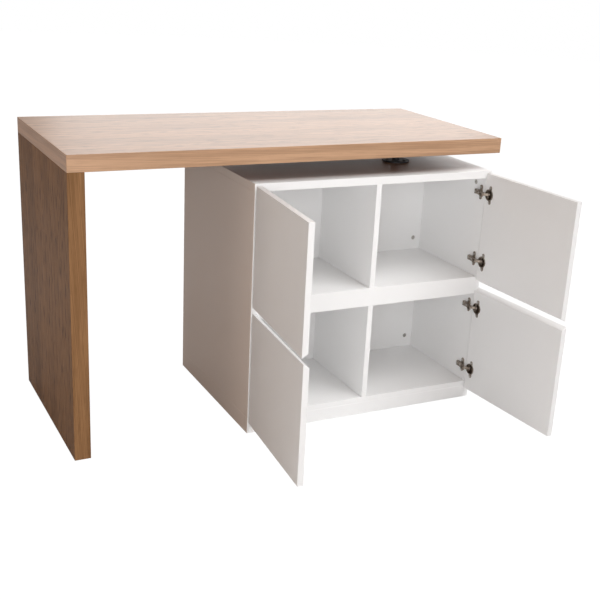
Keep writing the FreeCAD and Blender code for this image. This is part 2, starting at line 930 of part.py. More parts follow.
def mounting_plate(hand):
    """A cross-shaped plate on the side panel with a raised block inside the arm."""
    face = hand * float(s.board_thickness)
    sheet = hand * float(s.plate_thickness)
    middle = float(s.plate_centre_y)
    half_wing = float(s.plate_wing_width) / 2
    reach = float(s.plate_wing_span) / 2 - half_wing
    outward = FreeCAD.Vector(sheet, 0, 0)
    ends = [FreeCAD.Vector(face, middle, side * reach) for side in (1, -1)]
    rounds = [
        Part.makeCylinder(half_wing, abs(sheet), end, outward.normalize()) for end in ends
    ]
    wing = box_between(face, face + sheet, middle - half_wing, middle + half_wing, reach)
    block_half = arm_inside - float(s.open_pivot_clearance)
    block_top = face + hand * float(s.plate_block_height)
    block = box_between(face, block_top, float(s.arm_front_y), float(s.arm_rear_y), block_half)
    plate_solid = wing.fuse(rounds + [block])
    for side in (1, -1):
        seat = plate_screw_seat(hand, side)
        hole = laid_cylinder(
            seat, FreeCAD.Vector(hand, 0, 0), float(s.wood_screw_diameter), abs(sheet)
        )
        plate_solid = plate_solid.cut(hole)
    return plate_solid.removeSplitter()


def box_between(x_from, x_to, y_from, y_to, half_height):
    """A box between two faces, level about the hinge's middle."""
    low = FreeCAD.Vector(min(x_from, x_to), y_from, -half_height)
    return Part.makeBox(abs(x_to - x_from), y_to - y_from, 2 * half_height, low)


def plate_screw_seat(hand, side):
    """Where a mounting plate's screw enters the side panel."""
    return FreeCAD.Vector(
        hand * float(s.board_thickness),
        float(s.plate_centre_y),
        side * float(s.plate_screw_spacing) / 2,
    )


def clamp_screw(hand, y):
    """A screw head on the arm's web."""
    face = FreeCAD.Vector(hand * float(s.board_thickness + s.arm_shoulder_x), y, 0)
    out = FreeCAD.Vector(hand, 0, 0)
    return laid_cylinder(face, out, float(s.clamp_screw_diameter), float(s.clamp_screw_height))


plates = []
plate_screws = []
clamp_screws = []
clamp_places = (
    s.arm_front_y + s.clamp_screw_margin,
    s.arm_rear_y - s.clamp_screw_margin,
)
for door, (hand, row) in DOORS.items():
    opening = float(size_named(door + "_opening"))
    into_side = FreeCAD.Vector(-hand, 0, 0)
    outer_links = []
    inner_links = []
    cup_screws = []
    for place_name, height in zip(("top", "bottom"), hinge_heights[row]):
        lift = corner(hand, float(height))
        shaped(f"{door}_{place_name}_hinge_arm", [hinge_arm(hand)], lift)
        cup = shaped(f"{door}_{place_name}_hinge_cup", [hinge_cup(hand)])
        cup.Placement = lift * door_swing(hand, opening)
        outer_links.append(moved_up(outer_link(hand), height))
        inner_links.append(moved_up(inner_link(hand), height))
        plates.append((lift, mounting_plate(hand)))
        for side in (1, -1):
            seat = plate_screw_seat(hand, side)
            plate_screws.append((lift, wood_screw(seat, into_side, float(s.plate_thickness))))
            screw = wood_screw(
                cup_screw_place(hand, side),
                FreeCAD.Vector(0, -1, 0),
                float(s.cup_flange_thickness),
            )
            cup_screws.append(moved_up(screw, height))
        for clamp_y in clamp_places:
            clamp_screws.append((lift, clamp_screw(hand, float(clamp_y))))
    ground = corner(hand)
    shaped(f"{door}_outer_links", outer_links, ground * link_swing(hand, "outer_link", opening))
    shaped(f"{door}_inner_links", inner_links, ground * link_swing(hand, "inner_link", opening))
    shaped(f"{door}_cup_screws", cup_screws, ground * door_swing(hand, opening))


def seated(pairs):
    """Solids put in their places."""
    placed = []
    for placement, solid in pairs:
        copy = solid.copy()
        copy.Placement = placement * copy.Placement
        placed.append(copy)
    return placed


shaped("hinge_mounting_plates", seated(plates))
shaped("mounting_plate_screws", seated(plate_screws))
shaped("arm_clamp_screws", seated(clamp_screws))

# Doors: flat panels whose meeting edges are bevelled behind as finger grips

door_width = half_width - s.door_side_reveal - s.door_middle_gap / 2
for door, (hand, row) in DOORS.items():
    bottom, top = DOOR_SPANS[row]
    height = top - bottom
    behind = s.door_thickness
    if row == "upper":
        inner_edges = [(behind, height), (behind, s.grip_bevel_height)]
    else:
        inner_edges = [(behind, height - s.grip_bevel_height), (behind, zero)]
    panel = new_body(f"{door}_door")
    sketch = new_sketch(panel, "Section", "YZ_Plane")
    outline(sketch, [(zero, zero), (zero, height)] + inner_edges)
    ease_edges(panel, pad(panel, sketch, door_width, hand == RIGHT), s.lacquer_edge_ease)
    from_edge = (cup_middle - s.door_side_reveal) * hand
    heights = [level - bottom for level in hinge_heights[row]]
    bore(
        panel,
        "XZ_Plane",
        -behind,
        [(from_edge, level) for level in heights],
        s.cup_diameter + s.cup_bore_clearance * 2,
        s.cup_depth + s.cup_bore_clearance,
        True,
    )
    screw_x = (cup_middle + s.cup_screw_offset - s.door_side_reveal) * hand
    screw_places = [
        (screw_x, level + s.cup_screw_spacing / 2 * side) for level in heights for side in (1, -1)
    ]
    bore(
        panel,
        "XZ_Plane",
        -behind,
        screw_places,
        s.wood_screw_diameter,
        s.wood_screw_length - s.cup_flange_thickness,
        True,
    )
    shut = FreeCAD.Vector(hand * float(s.door_side_reveal), -float(s.door_front_gap + behind), 0)
    opening = float(size_named(door + "_opening"))
    pose = corner(hand, float(bottom)) * door_swing(hand, opening)
    panel.Placement = pose * FreeCAD.Placement(shut, FreeCAD.Rotation())
    keep(panel)

doc.recompute()
for item in doc.Objects:
    if "Invalid" in item.State or "Error" in item.State:
        raise ValueError(f"{item.Label} did not build: {item.State}")
os.makedirs("parts", exist_ok=True)
for item in nodes:
    shape = item.Shape
    if shape.isNull() or not shape.isValid():
        raise ValueError(f"{item.Label} has no valid shape")
    shape.exportStep(f"parts/{item.Label}.step")
print(f"{len(nodes)} pieces written")
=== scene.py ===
# %% [markdown]
# # A bar table whose worktop turns on its cabinet
# The real piece is a long veneered worktop on one veneered panel leg. Its other end rides
# on a short steel swivel, which stands on a glossy white cabinet with four open doors.
# The boards, doors and hinges come ready from the table's own frame, in metres, so this
# lesson is about finishes and light. The pieces could be modelled here again, but then
# every hinge would have to be fitted by eye. Loading the frame first makes that needless.

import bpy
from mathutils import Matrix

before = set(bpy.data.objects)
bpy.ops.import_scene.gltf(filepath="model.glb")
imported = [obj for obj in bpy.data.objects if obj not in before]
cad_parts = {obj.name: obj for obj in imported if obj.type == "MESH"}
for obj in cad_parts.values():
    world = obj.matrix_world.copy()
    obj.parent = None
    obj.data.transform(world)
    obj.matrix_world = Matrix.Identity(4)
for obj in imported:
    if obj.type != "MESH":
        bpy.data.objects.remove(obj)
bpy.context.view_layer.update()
print("pieces in the frame:", len(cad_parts))

# %% [markdown]
# ## The workbench
# Blender's own modules make the floor, the camera and the lamps. The view transform says
# how light becomes pixels. The film-like ones grey the whites, which suits a landscape
# but not white lacquer on white paper, so this scene takes the plain Standard one.

# %% Bring in the tools
import math

import bmesh
import bpy
from mathutils import Matrix, Vector

scene = bpy.context.scene
scene.view_settings.view_transform = "Standard"
print("view transform:", scene.view_settings.view_transform)

# %% [markdown]
# ## The camera
# The picture was taken from the table's left, a little above the worktop, with the
# camera tipped slightly to one side. It could be set up by eye, but straight board edges
# show every error, so its place, turn and focal length were solved from the corners of
# the boards. The short shift sets the lens's centre off the picture's centre.

# %% Stand the camera where the photographer stood
PICTURE_SIDE = 600
FOCAL_PIXELS = 1017.28
LENS_CENTRE = (312.39, 309.37)
SENSOR_WIDTH = 36
FARTHEST_SEEN = 60
camera_place = Vector((-1.5917, -2.9279, 1.4354))
yaw, pitch, roll = math.radians(27.69), math.radians(19.37), math.radians(-3.14)

ahead = Vector((math.sin(yaw) * math.cos(pitch), math.cos(yaw) * math.cos(pitch), -math.sin(pitch)))
level_right = Vector((math.cos(yaw), -math.sin(yaw), 0))
level_down = ahead.cross(level_right)
right = level_right * math.cos(roll) + level_down * math.sin(roll)
down = level_down * math.cos(roll) - level_right * math.sin(roll)

camera_data = bpy.data.cameras.new("camera")
camera_data.sensor_width = SENSOR_WIDTH
camera_data.lens = FOCAL_PIXELS / PICTURE_SIDE * SENSOR_WIDTH
camera_data.shift_x = (PICTURE_SIDE / 2 - LENS_CENTRE[0]) / PICTURE_SIDE
camera_data.shift_y = (LENS_CENTRE[1] - PICTURE_SIDE / 2) / PICTURE_SIDE
camera_data.clip_end = FARTHEST_SEEN

camera = bpy.data.objects.new("camera", camera_data)
scene.collection.objects.link(camera)
turn = Matrix((right, -down, -ahead)).transposed()
camera.matrix_world = Matrix.Translation(camera_place) @ turn.to_4x4()
scene.camera = camera
print("focal length in millimetres:", round(camera_data.lens, 2))

# %% [markdown]
# ## A finish is a small network of nodes
# Every finish below mixes a few noises into colour, roughness and bump. Wiring nodes one
# by one hides the idea behind bookkeeping, so this small class keeps the joining short:
# each call makes one node, connects what it is given and hands back the output. The
# result of one call is what the next one takes, like numbers in a sum.

# %% A short way to write a finish


class Finish:
    """One material, with short calls that add nodes to it."""

    def __init__(self, name, **sockets):
        self.material = bpy.data.materials.new(name)
        self.material.use_nodes = True
        self.tree = self.material.node_tree
        self.shader = self.tree.nodes["Principled BSDF"]
        for socket, value in sockets.items():
            self.shader.inputs[socket.replace("_", " ")].default_value = value

    def add(self, kind, inputs, settings=None, output=0):
        """Makes a node. An input is a plain value or another node's output."""
        node = self.tree.nodes.new("ShaderNode" + kind)
        for setting, value in (settings or {}).items():
            setattr(node, setting, value)
        for key, value in inputs.items():
            if isinstance(value, bpy.types.NodeSocket):
                self.tree.links.new(value, node.inputs[key])
            else:
                node.inputs[key].default_value = value
        return node.outputs[output]

    def reckon(self, operation, *numbers):
        return self.add("Math", dict(enumerate(numbers)), {"operation": operation})

    def sum(self, first, second):
        return self.reckon("ADD", first, second)

    def times(self, first, second):
        return self.reckon("MULTIPLY", first, second)

    def between(self, value, low, high, new_low=0.0, new_high=1.0):
        """Slides from one number to another while a value goes from low to high."""
        places = {"Value": value, "From Min": low, "From Max": high}
        places.update({"To Min": new_low, "To Max": new_high})
        return self.add("MapRange", places, {"interpolation_type": "SMOOTHSTEP"})

    def blend(self, share, first, second):
        """Mixes two colours. Inputs 6 and 7 are the node's colour sockets, output 2 its colour."""
        settings = {"data_type": "RGBA", "blend_type": "MIX"}
        return self.add("Mix", {0: share, 6: first, 7: second}, settings, output=2)

    def noise(self, place, scale, detail=2.0, rough=0.5):
        inputs = {"Vector": place, "Scale": scale, "Detail": detail, "Roughness": rough}
        return self.add("TexNoise", inputs)

    def spread(self, noise, new_low=0.0, new_high=1.0):
        """Stretches the middle of a noise, where it nearly always stays, over a whole range."""
        return self.between(noise, 0.3, 0.7, new_low, new_high)

    def position(self):
        return self.add("TexCoord", {}, output="Object")

    def facing(self):
        """The three shares of a face's direction, along the object's axes."""
        normal = self.add("TexCoord", {}, output="Normal")
        return self.add("SeparateXYZ", {0: normal}).node.outputs

    def feed(self, socket, value):
        """Gives one of the shader's own sockets what a node puts out."""
        self.tree.links.new(value, self.shader.inputs[socket])

    def relief(self, height, strength, depth):
        bump = self.add("Bump", {"Height": height, "Strength": strength, "Distance": depth})
        self.feed("Normal", bump)


print("short calls:", ", ".join(call for call in vars(Finish) if not call.startswith("_")))

# %% [markdown]
# ## Which way a face looks
# Some finishes differ from face to face of one board. A face's direction has a share
# along each axis, from minus one to one, and a face is said to look along an axis when
# that share is large. Separate materials for each face would do the same, but then every
# board's faces would have to be picked by hand.

# %% Tell the faces of a board apart
X, Y, Z = 0, 1, 2
LOOKS_ALONG = 0.7


def looks_either_way(finish, shares, axis):
    """One on faces that look along an axis or against it, else nought."""
    return finish.reckon("GREATER_THAN", finish.reckon("ABSOLUTE", shares[axis]), LOOKS_ALONG)


def looks_along(finish, shares, axis):
    return finish.reckon("GREATER_THAN", shares[axis], LOOKS_ALONG)


def looks_against(finish, shares, axis):
    return finish.reckon("LESS_THAN", shares[axis], -LOOKS_ALONG)


farthest_off = round(math.degrees(math.acos(LOOKS_ALONG)))
print("a face looks along an axis up to", farthest_off, "degrees off it")

# %% [markdown]
# ## Dressing a piece
# A piece from the frame comes with empty material slots, one for each kind of surface.
# A finish could be set on the mesh itself, but the mesh belongs to the frame and stays as
# it is, so each finish goes into the object's own slots.

# %% Put a finish on pieces


def dress(finish, *names):
    """Puts a finish on pieces of the frame."""
    for name in names:
        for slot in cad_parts[name].material_slots:
            slot.material = finish.material
    print(finish.material.name, "with", len(finish.tree.nodes), "nodes, on", len(names), "pieces")


print("slots to fill:", sum(len(piece.material_slots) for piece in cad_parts.values()))

# %% [markdown]
# ## Ash veneer, face by face
# The worktop and the leg are thick light boards with a skin of real wood glued to every
# face, so the grain on an edge doesn't run on from the grain on top. One block of
# three-dimensional wood texture would look sawn from solid. Here each face reads its own
# two directions instead: along the grain and across it. Thin leaves of veneer lie side
# by side, and each is slid a little along the next, as a veneer hand lays them.

# %% Lay the leaves on every face
FIRST_JOINT = 0.37
HEART_IN_LEAF = 0.42
LEAF_SLIDE = 0.031
EDGE_LEAF_NUMBER = 7.0


def pick(finish, share, first, second):
    """The first number where the share is nought, the second where it is one."""
    gap = finish.reckon("SUBTRACT", second, first)
    return finish.sum(first, finish.times(share, gap))


def lay_leaves(finish, grain, width, thickness, leaf_width):
    """Measures each point along its leaf and from the leaf's heart, and numbers the leaf."""
    places = finish.add("SeparateXYZ", {0: finish.position()}).node.outputs
    shares = finish.facing()
    ends = looks_either_way(finish, shares, grain)
    narrow = finish.sum(ends, looks_either_way(finish, shares, width))
    along = pick(finish, ends, places[grain], places[width])
    across = pick(finish, narrow, places[width], places[thickness])

    leaves = finish.reckon("MULTIPLY_ADD", across, 1 / leaf_width, FIRST_JOINT)
    leaf = finish.sum(finish.reckon("FLOOR", leaves), finish.times(narrow, EDGE_LEAF_NUMBER))
    off_heart = finish.reckon("SUBTRACT", finish.reckon("FRACT", leaves), HEART_IN_LEAF)
    return {
        "along": finish.sum(along, finish.times(leaf, LEAF_SLIDE)),
        "off_heart": finish.times(off_heart, leaf_width),
        "leaf": leaf,
        "narrow": narrow,
        "below": looks_against(finish, shares, thickness),
    }


# %% [markdown]
# ## Noise pulled long
# Everything in wood is longer than it is wide. A noise has no direction of its own, so it
# is read at a place that moves slowly along the grain and fast across it. Scaling the
# whole texture would do for one board, but here each leaf also has to differ from the
# next, so the leaf's number is the third direction.

# %% Pull a noise along the grain


def stretched(finish, lay, along, across, leaf_step):
    """A place for a noise, with so many waves per metre along and across the grain."""
    inputs = {
        0: finish.times(lay["along"], along),
        1: finish.times(lay["off_heart"], across),
        2: finish.times(lay["leaf"], leaf_step),
    }
    return finish.add("CombineXYZ", inputs)


# %% [markdown]
# ## Growth rings
# A leaf is cut a little off the heart of the log, which draws long pointed arches. They
# could be painted as curves. It is less work to read a noise that has one dimension only
# at the distance from the heart line: every ring then follows that line, bows round its
# tip and wanders a little. On narrow edges the rings wander less.

# %% Draw the growth rings
RINGS_PER_METRE = 95.0
TIP_ROUNDING = 0.0005
RING_LEAN = 0.05
RING_DRIFT = 0.06
EDGE_CALM = 0.85


def calmer_on_edges(finish, lay, value):
    """Takes most of a value away on narrow faces."""
    return finish.times(value, finish.reckon("MULTIPLY_ADD", lay["narrow"], -EDGE_CALM, 1.0))


def growth_rings(finish, lay, slow_place):
    """Nought to one across each year's pale and dark wood."""
    drift = finish.reckon("SUBTRACT", finish.noise(slow_place, 1.0, 3.0), 0.5)
    drift = calmer_on_edges(finish, lay, finish.times(drift, RING_DRIFT))
    squared = finish.times(lay["off_heart"], lay["off_heart"])
    bow = finish.reckon("SQRT", finish.sum(squared, TIP_ROUNDING))
    leaning = finish.sum(bow, finish.times(lay["along"], RING_LEAN))
    ring = finish.times(finish.sum(leaning, drift), RINGS_PER_METRE)
    inputs = {"W": ring, "Detail": 2.0, "Roughness": 0.6}
    rings = finish.add("TexNoise", inputs, {"noise_dimensions": "1D"})
    return finish.between(rings, 0.32, 0.68)


print("millimetres from ring to ring:", round(1000 / RINGS_PER_METRE, 1))

# %% [markdown]
# ## Streaks, flecks and pores
# Between the rings, ash has pale and dark streaks, fine threads, short dark flecks and
# open pores that gather in the dark part of a ring. Each is a noise pulled long along the
# grain, at its own size, and the sizes are what makes the wood look the right scale. The
# leg shows its flecks more than the top does. The underside can get painted shade, a
# darker tone that keeps the gap below it almost black where the lacquer mirrors it.

# %% Draw streaks, threads, flecks and pores


def wood_marks(finish, lay, growth):
    """The four marks of ash, each nought to one."""

    def grainy(along, across, leaf_step, detail, rough=0.5):
        return finish.noise(stretched(finish, lay, along, across, leaf_step), 1.0, detail, rough)

    streak = grainy(along=2.6, across=62.0, leaf_step=0.3, detail=3.0, rough=0.6)
    thread = grainy(along=7.0, across=330.0, leaf_step=1.0, detail=3.0, rough=0.6)
    fleck = grainy(along=16.0, across=150.0, leaf_step=0.12, detail=1.0)
    pore = grainy(along=28.0, across=900.0, leaf_step=1.0, detail=1.0)
    return {
        "streak": finish.spread(streak),
        "thread": thread,
        "fleck": calmer_on_edges(finish, lay, finish.between(fleck, 0.56, 0.67)),
        "pore": finish.times(finish.between(pore, 0.6, 0.72), growth),
    }


# %% [markdown]
# ## From marks to wood
# The rings, streaks and threads add up to one tone between pale and middle wood. Slow
# clouds, flecks and pores then pull it towards the dark tone, and each leaf as a whole is
# a touch paler or darker than the next. One ramp of many colours could hold all of that,
# but then no mark could be made stronger without moving the others.

# %% Mix the veneer
RING_SHARE, STREAK_SHARE, THREAD_SHARE = 0.34, 0.40, 0.26
CLOUD_SHARE = 0.35
PORE_SHARE = 0.35
LEAF_DARKEST, LEAF_PALEST = 0.95, 1.05
WOOD_ROUGHNESS = (0.34, 0.46)
GRAIN_STRENGTH, GRAIN_DEPTH = 0.35, 0.00025
THREAD_HEIGHT = 0.4


def veneer(name, grain, width, thickness, tones, leaf_width, flecks=0.5, underside_shade=0.0, **sockets):
    """Veneer with its grain along one axis, laid leaf by leaf across the width."""
    finish = Finish(name, **sockets)
    lay = lay_leaves(finish, grain, width, thickness, leaf_width)
    slow_place = stretched(finish, lay, along=2.2, across=9.0, leaf_step=0.2)
    growth = growth_rings(finish, lay, slow_place)
    marks = wood_marks(finish, lay, growth)
    cloud = finish.noise(slow_place, 0.8, 2.0)

    tone = finish.times(growth, RING_SHARE)
    tone = finish.sum(tone, finish.times(marks["streak"], STREAK_SHARE))
    tone = finish.sum(tone, finish.times(marks["thread"], THREAD_SHARE))
    dark, middle, pale = tones
    wood = finish.blend(finish.between(tone, 0.18, 0.82), pale, middle)
    wood = finish.blend(finish.between(cloud, 0.45, 0.75, 0.0, CLOUD_SHARE), wood, dark)
    wood = finish.blend(finish.times(marks["fleck"], flecks), wood, dark)
    wood = finish.blend(finish.times(marks["pore"], PORE_SHARE), wood, dark)
    # Painted shade: faces that look down are pulled towards the dark tone.
    wood = finish.blend(finish.times(lay["below"], underside_shade), wood, dark)
    chance = finish.add("TexWhiteNoise", {"W": lay["leaf"]}, {"noise_dimensions": "1D"})
    shade = finish.between(chance, 0, 1, LEAF_DARKEST, LEAF_PALEST)

    finish.feed("Base Color", finish.add("HueSaturation", {"Value": shade, "Color": wood}))
    finish.feed("Roughness", finish.between(marks["thread"], 0.2, 0.8, *WOOD_ROUGHNESS))
    height = finish.times(marks["thread"], THREAD_HEIGHT)
    height = finish.reckon("SUBTRACT", height, marks["pore"])
    finish.relief(height, GRAIN_STRENGTH, GRAIN_DEPTH)
    return finish


# %% [markdown]
# ## Three woods
# The top is lacquered and mirrors the white studio at a low angle, which makes it look
# paler than its own front edge. A clear coat does that as the real lacquer does, where a
# paler brown would spoil the edge. The leg is a deeper brown and nearly matt. The hidden
# dowels are plain beech. A tone is given as dark, middle and pale wood.

# %% Lay the veneer on the worktop, the leg and the dowels
worktop_veneer = veneer(
    "worktop_ash_veneer",
    grain=X,
    width=Y,
    thickness=Z,
    tones=((0.23, 0.115, 0.058, 1), (0.43, 0.245, 0.137, 1), (0.63, 0.38, 0.225, 1)),
    leaf_width=0.2,
    flecks=0.6,
    underside_shade=0.9,
    Specular_IOR_Level=0.4,
    Coat_Weight=0.6,
    Coat_Roughness=0.35,
)
leg_veneer = veneer(
    "leg_ash_veneer",
    grain=Z,
    width=Y,
    thickness=X,
    tones=((0.10, 0.047, 0.02, 1), (0.22, 0.112, 0.049, 1), (0.33, 0.175, 0.08, 1)),
    leaf_width=0.2,
    flecks=1.0,
    Specular_IOR_Level=0.06,
)
beech = veneer(
    "beech_dowel",
    grain=Z,
    width=Y,
    thickness=X,
    tones=((0.50, 0.30, 0.17, 1), (0.62, 0.41, 0.25, 1), (0.70, 0.50, 0.33, 1)),
    leaf_width=0.05,
)
dress(worktop_veneer, "worktop")
dress(leg_veneer, "leg_panel")
dress(beech, "leg_dowels")

# %% [markdown]
# ## White lacquer
# The cabinet is sprayed board: near white, glossy, and a touch softer on the doors. Plain
# white in Blender looks like paper. Sprayed lacquer has a slight ripple that breaks up
# what it mirrors, and its gloss varies from hand to hand, so one noise bends the surface
# by far less than a hair's width and a broader one moves the roughness.

# %% Mix the lacquer
GLOSS_CLOUDS_PER_METRE = 5.0
RIPPLES_PER_METRE = 400.0
RIPPLE_STRENGTH, RIPPLE_DEPTH = 0.02, 0.00003
DULLER_WHITE = 0.99


def lacquer(name, white, roughness, left_shade=None):
    """Sprayed lacquer with a faint ripple. Hands back the finish and its paint."""
    finish = Finish(name)
    place = finish.position()
    cloud = finish.noise(place, GLOSS_CLOUDS_PER_METRE, 3.0)
    duller = tuple(part * DULLER_WHITE for part in white[:3]) + (1,)
    paint = finish.blend(finish.spread(cloud), white, duller)
    # Painted shade: faces that look left are tinted a warm beige.
    if left_shade:
        paint = finish.blend(looks_against(finish, finish.facing(), X), paint, left_shade)
    finish.feed("Base Color", paint)
    finish.feed("Roughness", finish.spread(cloud, *roughness))
    finish.relief(finish.noise(place, RIPPLES_PER_METRE), RIPPLE_STRENGTH, RIPPLE_DEPTH)
    return finish, paint


print("millimetres from ripple to ripple:", 1000 / RIPPLES_PER_METRE)

# %% [markdown]
# ## Painted shade on the white
# White boards take on the colours round them. The cabinet's left side looks a warm beige
# from bounced light and shade. The top panel looks deep brown where the worktop covers it,
# in its shade and mirroring its underside. Light that bounces brings only part of that, so
# these faces get painted shade of their own. The covered part could be painted as a fixed
# shape, but then it would stay behind when the worktop turns. It is found by how little open
# air a point has above it, so it moves with the worktop.

# %% Paint shade on the covered part
COVER_REACH = 0.12
COVERED, OPEN = 0.18, 0.42
MIRROR, MIRROR_LOST_UNDER_COVER = 0.5, 0.45


def paint_shade_where_covered(finish, paint, covered_shade):
    """Paints brown shade and reflection on the upward faces that something stands close above, and
    dulls them.
    """
    inputs = {"Distance": COVER_REACH}
    openness = finish.add("AmbientOcclusion", inputs, {"samples": 12}, output="AO")
    cover = finish.between(openness, COVERED, OPEN, 1.0, 0.0)
    cover = finish.times(cover, looks_along(finish, finish.facing(), Z))
    mirror = finish.reckon("MULTIPLY_ADD", cover, -MIRROR_LOST_UNDER_COVER, MIRROR)
    finish.feed("Specular IOR Level", mirror)
    # Painted shade and painted reflection: the covered part turns brown.
    finish.feed("Base Color", finish.blend(cover, paint, covered_shade))


print("cover is felt up to", COVER_REACH, "metres below it")

# %% [markdown]
# ## Four lacquers for one cabinet
# All boards share one white. Those with a face on the cabinet's left side also get the
# painted warm shade for it, and the top panel the painted brown shade for its covered part.
# The doors are sprayed apart from the boards and are a little greyer and softer.

# %% Spray the boards and doors
CABINET_WHITE, DOOR_WHITE = (0.965, 0.965, 0.965, 1), (0.92, 0.92, 0.92, 1)
CABINET_ROUGHNESS, DOOR_ROUGHNESS = (0.285, 0.33), (0.30, 0.36)
LEFT_PAINTED_SHADE = (0.82, 0.71, 0.63, 1)
COVERED_PAINTED_SHADE = (0.36, 0.16, 0.08, 1)

cabinet_lacquer, _ = lacquer("cabinet_white_lacquer", CABINET_WHITE, CABINET_ROUGHNESS)
side_lacquer, _ = lacquer("cabinet_side_lacquer", CABINET_WHITE, CABINET_ROUGHNESS, LEFT_PAINTED_SHADE)
top_lacquer, top_paint = lacquer("cabinet_top_lacquer", CABINET_WHITE, CABINET_ROUGHNESS, LEFT_PAINTED_SHADE)
paint_shade_where_covered(top_lacquer, top_paint, COVERED_PAINTED_SHADE)
door_lacquer, _ = lacquer("door_white_lacquer", DOOR_WHITE, DOOR_ROUGHNESS)

white_boards = [
    "bottom_panel",
    "middle_shelf",
    "upper_divider",
    "lower_divider",
    "right_side_panel",
    "back_panel",
    "base_rear_rail",
    "base_right_rail",
    "base_middle_rail",
]
doors = ["upper_left", "lower_left", "upper_right", "lower_right"]
dress(cabinet_lacquer, *white_boards)
dress(top_lacquer, "top_panel")
dress(side_lacquer, "left_side_panel", "base_left_rail", "base_front_rail")
dress(door_lacquer, *(door + "_door" for door in doors))

# %% [markdown]
# ## Plated steel
# The concealed hinges are pressed steel with a warm nickel plate that looks nearly bronze
# against white, with black hollows between its bright parts. Pressed metal is never evenly
# bright: handling, oil and the rolls leave cloudy roughness. The hollows would stay too
# light in a scene this white, so the finish also darkens wherever a point has little open
# air round it, as painted shade with a little grime. The same recipe with other tones makes
# the zinc of the small fasteners and the black screws of the swivel.

# %% Plate the hinges and the fasteners
HOLLOW_REACH = 0.012
HOLLOW, FREE = 0.08, 0.42
GRIME_AND_SHADE_SHARE = 0.12
DENTS_PER_CLOUD = 8
DENT_STRENGTH, DENT_DEPTH = 0.15, 0.00005


def plated(name, bright, dull, roughness, clouds):
    """Plated steel with so many clouds per metre, and painted shade in its hollows."""
    finish = Finish(name, Metallic=1.0)
    place = finish.position()
    cloud = finish.noise(place, clouds, 4.0, 0.6)
    worn = finish.blend(finish.spread(cloud), bright, dull)
    # Painted shade with a little grime: hollows with little open air round them go nearly black.
    grime_and_shade = tuple(part * GRIME_AND_SHADE_SHARE for part in dull[:3]) + (1,)
    openness = finish.add("AmbientOcclusion", {"Distance": HOLLOW_REACH}, {"samples": 8}, output="AO")
    finish.feed("Base Color", finish.blend(finish.between(openness, HOLLOW, FREE), grime_and_shade, worn))
    finish.feed("Roughness", finish.spread(cloud, *roughness))
    finish.relief(finish.noise(place, clouds * DENTS_PER_CLOUD), DENT_STRENGTH, DENT_DEPTH)
    return finish


nickel = plated(
    "hinge_nickel",
    bright=(0.50, 0.44, 0.38, 1), dull=(0.17, 0.13, 0.10, 1), roughness=(0.28, 0.36), clouds=160,
)
zinc = plated(
    "zinc_plated_fastener",
    bright=(0.62, 0.60, 0.57, 1), dull=(0.40, 0.38, 0.35, 1), roughness=(0.28, 0.42), clouds=200,
)
black_steel = plated(
    "swivel_black_screw",
    bright=(0.10, 0.10, 0.10, 1), dull=(0.06, 0.06, 0.06, 1), roughness=(0.3, 0.4), clouds=200,
)

hinge_places = [f"{door}_{end}" for door in doors for end in ("top", "bottom")]
dress(nickel, *(place + "_hinge_arm" for place in hinge_places))
dress(nickel, *(place + "_hinge_cup" for place in hinge_places))
dress(nickel, *(door + "_outer_links" for door in doors))
dress(nickel, *(door + "_inner_links" for door in doors))
dress(nickel, "hinge_mounting_plates")
dress(zinc, "cam_locks", "mounting_plate_screws", "arm_clamp_screws")
dress(zinc, *(door + "_cup_screws" for door in doors))
dress(black_steel, "swivel_lower_screws", "swivel_upper_screws")

# %% [markdown]
# ## The swivel
# The swivel's post and sleeve are coated with black powder, baked to a finely pebbled
# skin. The pebbles could be real bumps in the mesh, but at a fraction of a millimetre a
# noise does as well, and the same noise makes their tips paler and duller.

# %% Coat the swivel
PEBBLES_PER_METRE = 700.0
PEBBLE_STRENGTH, PEBBLE_DEPTH = 0.4, 0.0002

powder_coat = Finish("swivel_black_metal")
pebble = powder_coat.noise(powder_coat.position(), PEBBLES_PER_METRE)
tips = powder_coat.spread(pebble)
black_powder = powder_coat.blend(tips, (0.02, 0.02, 0.022, 1), (0.05, 0.048, 0.05, 1))
powder_coat.feed("Base Color", black_powder)
powder_coat.feed("Roughness", powder_coat.spread(pebble, 0.4, 0.55))
powder_coat.relief(pebble, PEBBLE_STRENGTH, PEBBLE_DEPTH)
dress(powder_coat, "swivel_post", "swivel_sleeve")

# %% [markdown]
# ## Felt under the leg
# The leg can't stand on bare veneer, so grey felt glides lie under it. Felt could be
# made of hairs, but these lie flat under the table's weight and hardly show. A fine
# noise with much detail gives the matted look.

# %% Glue the felt
FIBRES_PER_METRE = 900.0
FIBRE_STRENGTH, FIBRE_DEPTH = 0.6, 0.0004

glide_felt = Finish("felt_grey_glide")
fibre = glide_felt.noise(glide_felt.position(), FIBRES_PER_METRE, 4.0, 0.7)
grey_wool = glide_felt.blend(fibre, (0.12, 0.115, 0.11, 1), (0.22, 0.21, 0.20, 1))
glide_felt.feed("Base Color", grey_wool)
glide_felt.feed("Roughness", glide_felt.between(fibre, 0, 1, 0.75, 0.95))
glide_felt.relief(fibre, FIBRE_STRENGTH, FIBRE_DEPTH)
dress(glide_felt, "leg_glides")

# %% [markdown]
# ## The washer
# The swivel runs on a nylon washer, a pale plastic that lets a little light in. It is
# hidden while the table is whole, so two plain noises are enough: one for the marks of
# the moulding and a finer one for scuffs.

# %% Mould the washer
FLOW_MARKS_PER_METRE = 90.0
SCUFFS_PER_METRE = 300.0

